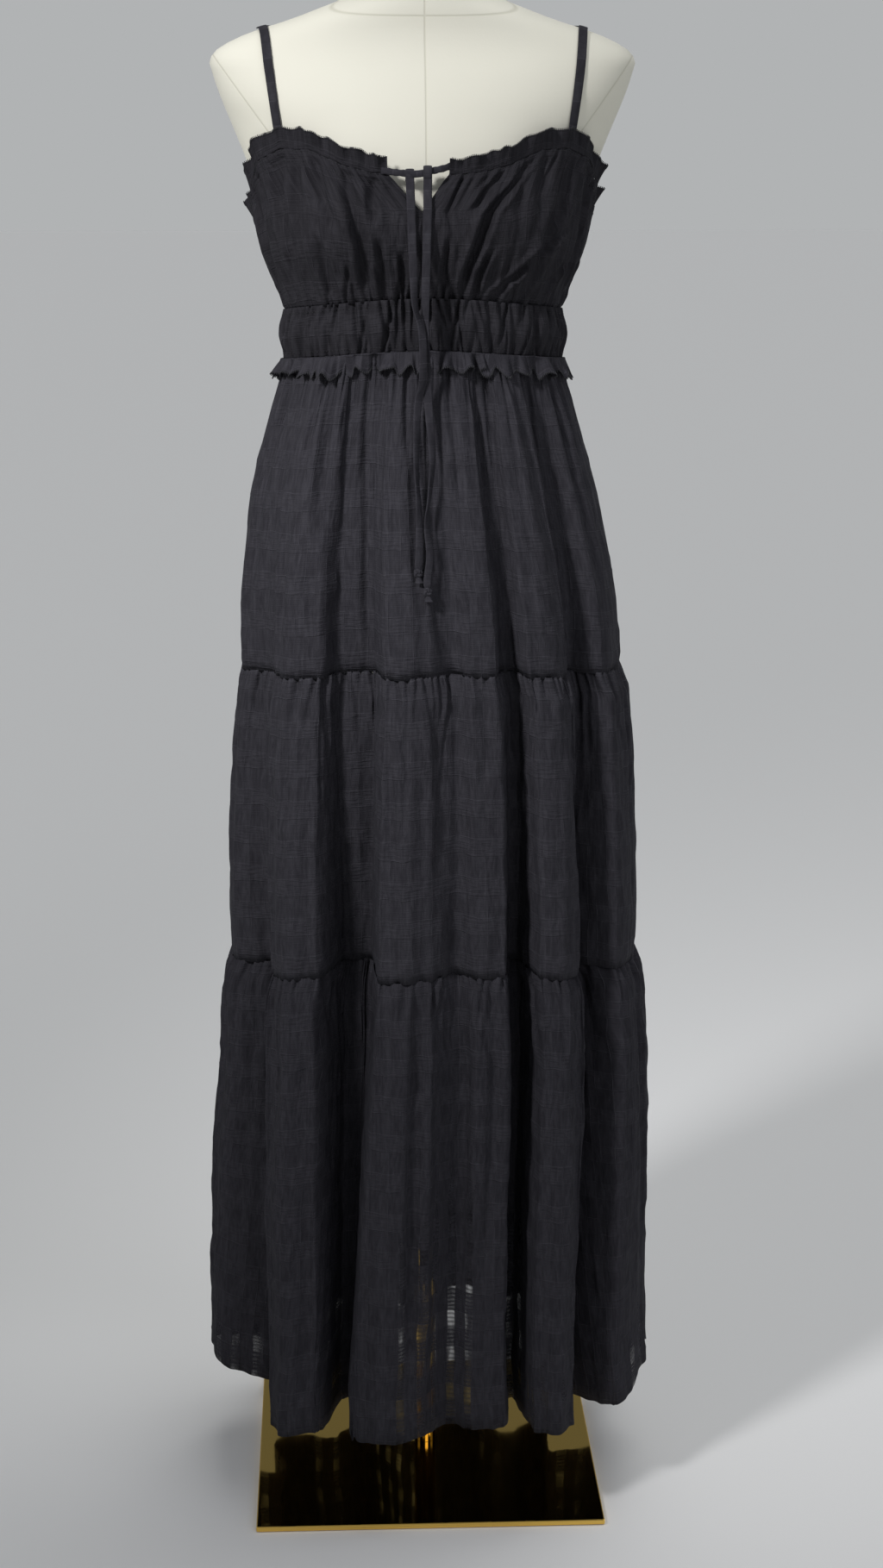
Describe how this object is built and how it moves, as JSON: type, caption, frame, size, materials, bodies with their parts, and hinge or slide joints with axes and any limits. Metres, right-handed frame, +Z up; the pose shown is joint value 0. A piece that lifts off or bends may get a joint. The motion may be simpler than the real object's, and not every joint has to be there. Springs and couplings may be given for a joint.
{
  "type": "tiered maxi dress on a dress form",
  "caption": "Sleeveless tiered maxi dress with thin straps, a ruffled drawstring neckline and a shirred waistband, on a limbless dress form with a pole and a square plate.",
  "frame": {"origin": "centre of the square plate's underside, on the floor and on the pole's axis", "axes": "+Z up along the pole, -Y towards the front of the dress, +X to the right of someone who faces its front"},
  "size_m": [0.4592, 0.3823, 1.535],
  "materials": {
    "dress_cloth": "matt black crinkled gauze with a woven check",
    "form_cloth": "cream jersey stretched over the form",
    "stand_metal": "polished, gold coloured"
  },
  "bodies": {
    "root": {"bodice_front_left": "dress_cloth", "bodice_front_right": "dress_cloth", "bodice_back": "dress_cloth", "neck_ruffle_left": "dress_cloth", "neck_ruffle_right": "dress_cloth", "neck_ruffle_back": "dress_cloth", "strap_left": "dress_cloth", "strap_right": "dress_cloth", "drawstring_left": "dress_cloth", "drawstring_right": "dress_cloth", "tie_knot": "dress_cloth", "tie_left": "dress_cloth", "tie_right": "dress_cloth", "waistband_front": "dress_cloth", "waistband_back": "dress_cloth", "peplum_front": "dress_cloth", "peplum_back": "dress_cloth", "tier_one_front": "dress_cloth", "tier_one_back": "dress_cloth", "tier_two_front": "dress_cloth", "tier_two_back": "dress_cloth", "tier_three_front": "dress_cloth", "tier_three_back": "dress_cloth", "form_torso": "form_cloth", "stand_pole": "stand_metal", "stand_base": "stand_metal"}
  },
  "joints": []
}
